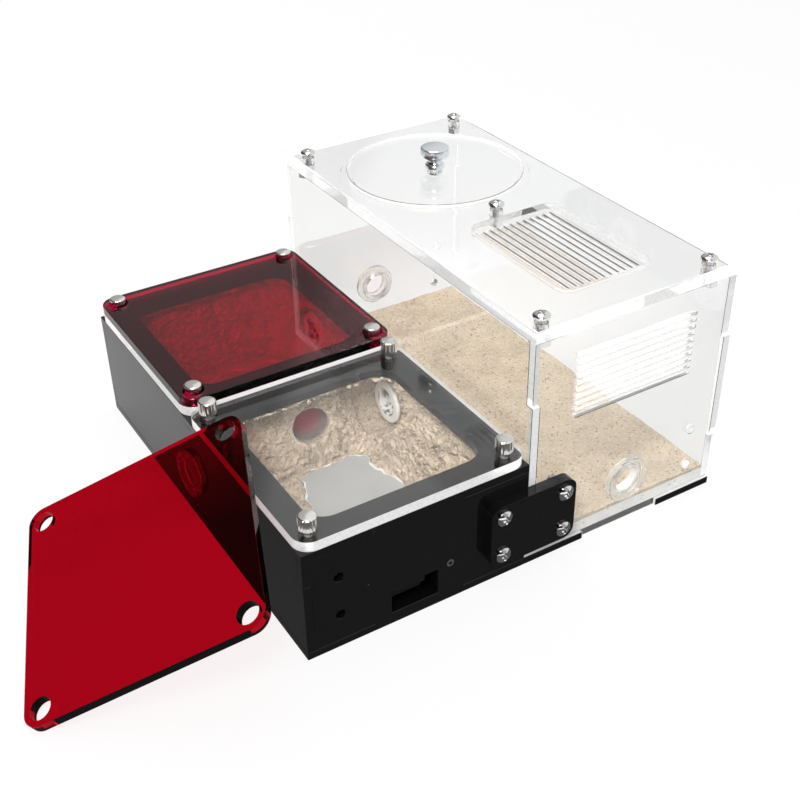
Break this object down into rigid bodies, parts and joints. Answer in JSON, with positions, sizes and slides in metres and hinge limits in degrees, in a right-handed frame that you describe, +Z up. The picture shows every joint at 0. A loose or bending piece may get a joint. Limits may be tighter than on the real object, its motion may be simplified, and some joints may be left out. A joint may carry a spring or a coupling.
{
  "type": "ant habitat",
  "caption": "Black nest block with lined chambers under clear and red covers, bracketed beside a clear foraging box with a vented lid and a lift-out disc lid.",
  "frame": {"origin": "front left corner of the nest block's underside", "axes": "+X to the right across the nest and the foraging box, +Y to the back, +Z up"},
  "size_m": [0.3009, 0.224, 0.1203],
  "materials": {
    "black_acrylic": "polished black acrylic sheet",
    "clear_acrylic": "polished clear acrylic sheet",
    "red_acrylic": "polished red see-through acrylic sheet",
    "nickel": "bright nickel plate",
    "bright_steel": "bright zinc plate",
    "brass_insert": "plain brass",
    "cast_lining": "rough cast lining coated with sand",
    "moisture_tile": "smooth pale cast tile",
    "bed_plaster": "pale smooth cast bed",
    "sand": "loose fine sand"
  },
  "bodies": {
    "root": {"nest_floor": "black_acrylic", "nest_front_wall": "black_acrylic", "nest_back_wall": "black_acrylic", "nest_left_wall": "black_acrylic", "nest_right_wall": "black_acrylic", "nest_top_frame": "black_acrylic", "screw_inserts_front": "brass_insert", "screw_inserts_rear": "brass_insert", "lining_front": "cast_lining", "lining_ridge": "cast_lining", "lining_rear": "cast_lining", "moisture_tile_front": "moisture_tile", "moisture_tile_rear": "moisture_tile", "nest_port_left": "clear_acrylic", "link_bush_middle": "clear_acrylic", "link_bush_rear": "clear_acrylic", "link_collar_middle": "clear_acrylic", "link_collar_rear": "clear_acrylic", "slot_tray": "black_acrylic", "probe_eyelet": "bright_steel", "foraging_base": "black_acrylic", "foraging_front_wall": "clear_acrylic", "foraging_back_wall": "clear_acrylic", "foraging_left_wall": "clear_acrylic", "foraging_right_wall": "clear_acrylic", "foraging_bed": "bed_plaster", "sand_layer": "sand", "foraging_port_front": "clear_acrylic", "foraging_port_back": "clear_acrylic", "joining_bracket_front": "black_acrylic", "joining_bracket_back": "black_acrylic", "bracket_screws_front": "bright_steel", "bracket_screws_back": "bright_steel", "bracket_nuts_front": "bright_steel", "bracket_nuts_back": "bright_steel"},
    "clear_cover_front": {"clear_cover_front": "clear_acrylic"},
    "clear_cover_rear": {"clear_cover_rear": "clear_acrylic"},
    "red_cover_front": {"red_cover_front": "red_acrylic"},
    "red_cover_rear": {"red_cover_rear": "red_acrylic"},
    "foraging_lid": {"foraging_lid": "clear_acrylic", "vent_plate": "clear_acrylic", "disc_seat_ring": "clear_acrylic", "lid_bolts": "bright_steel", "lid_bushes": "clear_acrylic", "lid_nuts": "bright_steel"},
    "disc_lid": {"disc_lid": "clear_acrylic", "disc_knob": "nickel", "knob_screw": "bright_steel"},
    "thumb_screw_front_1": {"thumb_screw_front_1": "nickel"},
    "thumb_screw_front_2": {"thumb_screw_front_2": "nickel"},
    "thumb_screw_front_3": {"thumb_screw_front_3": "nickel"},
    "thumb_screw_front_4": {"thumb_screw_front_4": "nickel"},
    "thumb_screw_rear_1": {"thumb_screw_rear_1": "nickel"},
    "thumb_screw_rear_2": {"thumb_screw_rear_2": "nickel"},
    "thumb_screw_rear_3": {"thumb_screw_rear_3": "nickel"},
    "thumb_screw_rear_4": {"thumb_screw_rear_4": "nickel"}
  },
  "joints": [
    {"name": "clear_cover_front_lift", "type": "slide", "parent": "root", "child": "clear_cover_front", "axis": [0, 0, 1], "range_m": [0, 0.025]},
    {"name": "clear_cover_rear_lift", "type": "slide", "parent": "root", "child": "clear_cover_rear", "axis": [0, 0, 1], "range_m": [0, 0.025]},
    {"name": "red_cover_front_lift", "type": "slide", "parent": "clear_cover_front", "child": "red_cover_front", "axis": [0, 0, 1], "range_m": [0, 0.12]},
    {"name": "red_cover_rear_lift", "type": "slide", "parent": "clear_cover_rear", "child": "red_cover_rear", "axis": [0, 0, 1], "range_m": [0, 0.018]},
    {"name": "foraging_lid_lift", "type": "slide", "parent": "root", "child": "foraging_lid", "axis": [0, 0, 1], "range_m": [0, 0.06]},
    {"name": "disc_lid_lift", "type": "slide", "parent": "foraging_lid", "child": "disc_lid", "axis": [0, 0, 1], "range_m": [0, 0.04]},
    {"name": "thumb_screw_front_1_turn", "type": "hinge", "parent": "clear_cover_front", "child": "thumb_screw_front_1", "pos_m": [0.00715, 0.00715, 0.0557], "axis": [0, 0, 1], "continuous": true},
    {"name": "thumb_screw_front_2_turn", "type": "hinge", "parent": "clear_cover_front", "child": "thumb_screw_front_2", "pos_m": [0.09285, 0.00715, 0.0557], "axis": [0, 0, 1], "continuous": true},
    {"name": "thumb_screw_front_3_turn", "type": "hinge", "parent": "clear_cover_front", "child": "thumb_screw_front_3", "pos_m": [0.00715, 0.093, 0.0557], "axis": [0, 0, 1], "continuous": true},
    {"name": "thumb_screw_front_4_turn", "type": "hinge", "parent": "clear_cover_front", "child": "thumb_screw_front_4", "pos_m": [0.09285, 0.093, 0.0557], "axis": [0, 0, 1], "continuous": true},
    {"name": "thumb_screw_rear_1_turn", "type": "hinge", "parent": "clear_cover_rear", "child": "thumb_screw_rear_1", "pos_m": [0.00715, 0.1073, 0.0557], "axis": [0, 0, 1], "continuous": true},
    {"name": "thumb_screw_rear_2_turn", "type": "hinge", "parent": "clear_cover_rear", "child": "thumb_screw_rear_2", "pos_m": [0.09285, 0.1073, 0.0557], "axis": [0, 0, 1], "continuous": true},
    {"name": "thumb_screw_rear_3_turn", "type": "hinge", "parent": "clear_cover_rear", "child": "thumb_screw_rear_3", "pos_m": [0.00715, 0.19315, 0.0557], "axis": [0, 0, 1], "continuous": true},
    {"name": "thumb_screw_rear_4_turn", "type": "hinge", "parent": "clear_cover_rear", "child": "thumb_screw_rear_4", "pos_m": [0.09285, 0.19315, 0.0557], "axis": [0, 0, 1], "continuous": true}
  ]
}
